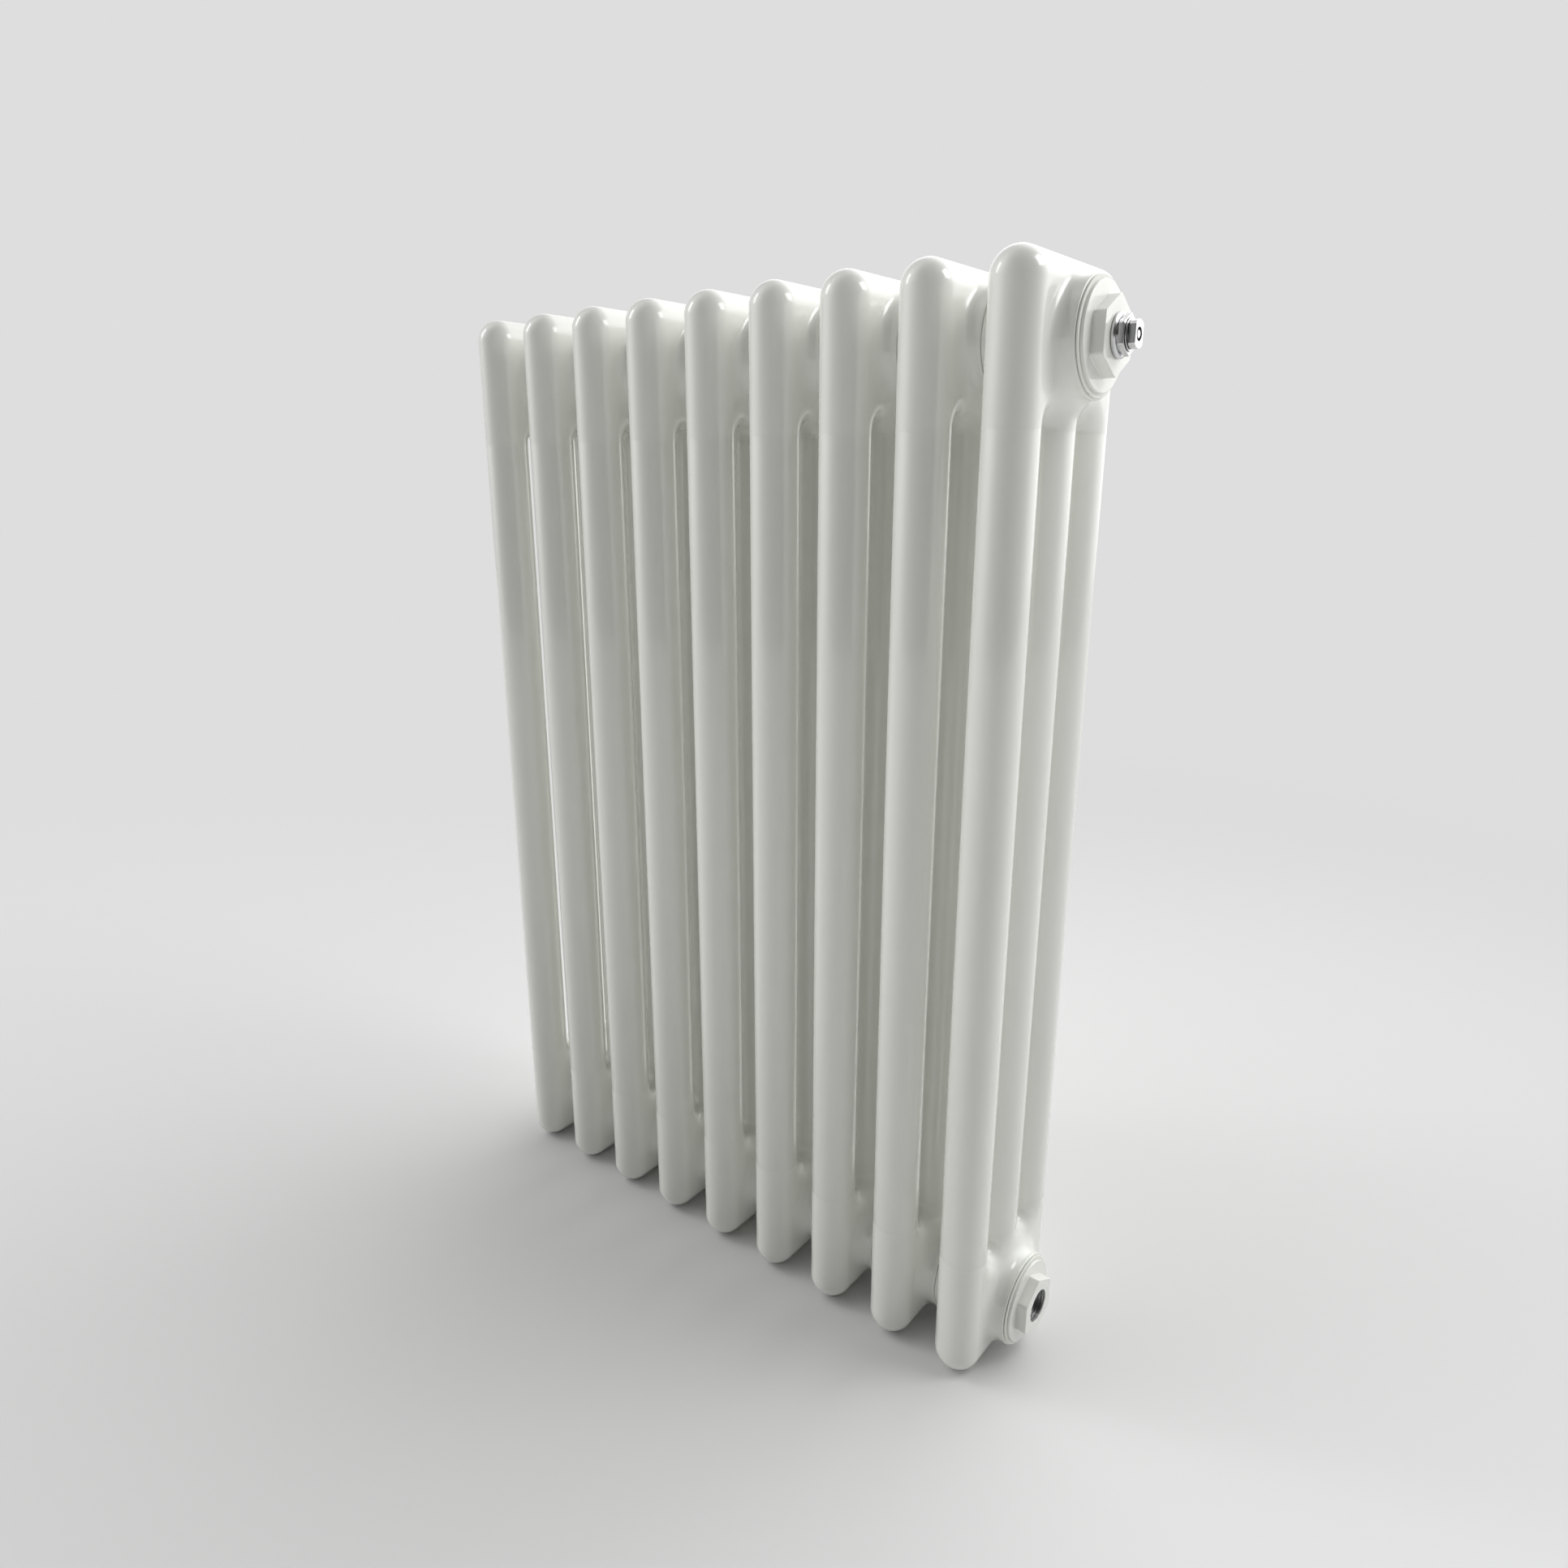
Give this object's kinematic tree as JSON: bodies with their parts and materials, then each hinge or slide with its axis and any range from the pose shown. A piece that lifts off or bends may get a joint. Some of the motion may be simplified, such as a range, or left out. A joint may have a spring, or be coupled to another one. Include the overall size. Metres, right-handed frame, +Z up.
{
  "type": "radiator with valve",
  "caption": "Free-standing row of white three-column tubular radiator sections with rounded heads, round hubs, hexagonal end plugs, an open pipe port and a metal air vent.",
  "frame": {"origin": "on the floor, under the middle of the middle section: the centre of the flat foot of that section's bottom head", "axes": "+X along the row of sections towards the air vent end, +Y to the back (wall side), +Z up"},
  "size_m": [0.441, 0.1, 0.6],
  "materials": {
    "white_paint": "glossy white powder coat",
    "white_seal": "satin white sealing ring",
    "bright_nickel": "bright nickel plate",
    "plated_brass": "nickel-plated brass, satin",
    "seal_rubber": "matt black rubber"
  },
  "bodies": {
    "radiator": {"bottom_head_1": "white_paint", "top_head_1": "white_paint", "front_tube_1": "white_paint", "middle_tube_1": "white_paint", "rear_tube_1": "white_paint", "bottom_head_2": "white_paint", "top_head_2": "white_paint", "front_tube_2": "white_paint", "middle_tube_2": "white_paint", "rear_tube_2": "white_paint", "bottom_head_3": "white_paint", "top_head_3": "white_paint", "front_tube_3": "white_paint", "middle_tube_3": "white_paint", "rear_tube_3": "white_paint", "bottom_head_4": "white_paint", "top_head_4": "white_paint", "front_tube_4": "white_paint", "middle_tube_4": "white_paint", "rear_tube_4": "white_paint", "bottom_head_5": "white_paint", "top_head_5": "white_paint", "front_tube_5": "white_paint", "middle_tube_5": "white_paint", "rear_tube_5": "white_paint", "bottom_head_6": "white_paint", "top_head_6": "white_paint", "front_tube_6": "white_paint", "middle_tube_6": "white_paint", "rear_tube_6": "white_paint", "bottom_head_7": "white_paint", "top_head_7": "white_paint", "front_tube_7": "white_paint", "middle_tube_7": "white_paint", "rear_tube_7": "white_paint", "bottom_head_8": "white_paint", "top_head_8": "white_paint", "front_tube_8": "white_paint", "middle_tube_8": "white_paint", "rear_tube_8": "white_paint", "bottom_head_9": "white_paint", "top_head_9": "white_paint", "front_tube_9": "white_paint", "middle_tube_9": "white_paint", "rear_tube_9": "white_paint", "right_port_bush": "white_paint", "left_port_bush": "white_paint", "vent_carrier_plug": "white_paint", "blank_plug": "white_paint", "right_port_gasket": "white_seal", "left_port_gasket": "white_seal", "vent_carrier_gasket": "white_seal", "blank_plug_gasket": "white_seal", "vent_plug": "bright_nickel", "vent_insert": "bright_nickel", "vent_insert_washer": "bright_nickel", "vent_o_ring": "seal_rubber"},
    "vent_seal": {"vent_seal_cone": "seal_rubber"},
    "vent_screw": {"vent_spindle": "plated_brass"}
  },
  "joints": [
    {"name": "vent_screw_travel", "type": "slide", "parent": "radiator", "child": "vent_seal", "axis": [1, 0, 0], "range_m": [0, 0.0006]},
    {"name": "vent_screw_turn", "type": "hinge", "parent": "vent_seal", "child": "vent_screw", "pos_m": [0.22, 0, 0.564], "axis": [1, 0, 0], "range_deg": [0, 270]}
  ],
  "couplings": [
    {"joint": "vent_screw_turn", "follows": "vent_screw_travel", "rad_per_m": 7854}
  ]
}
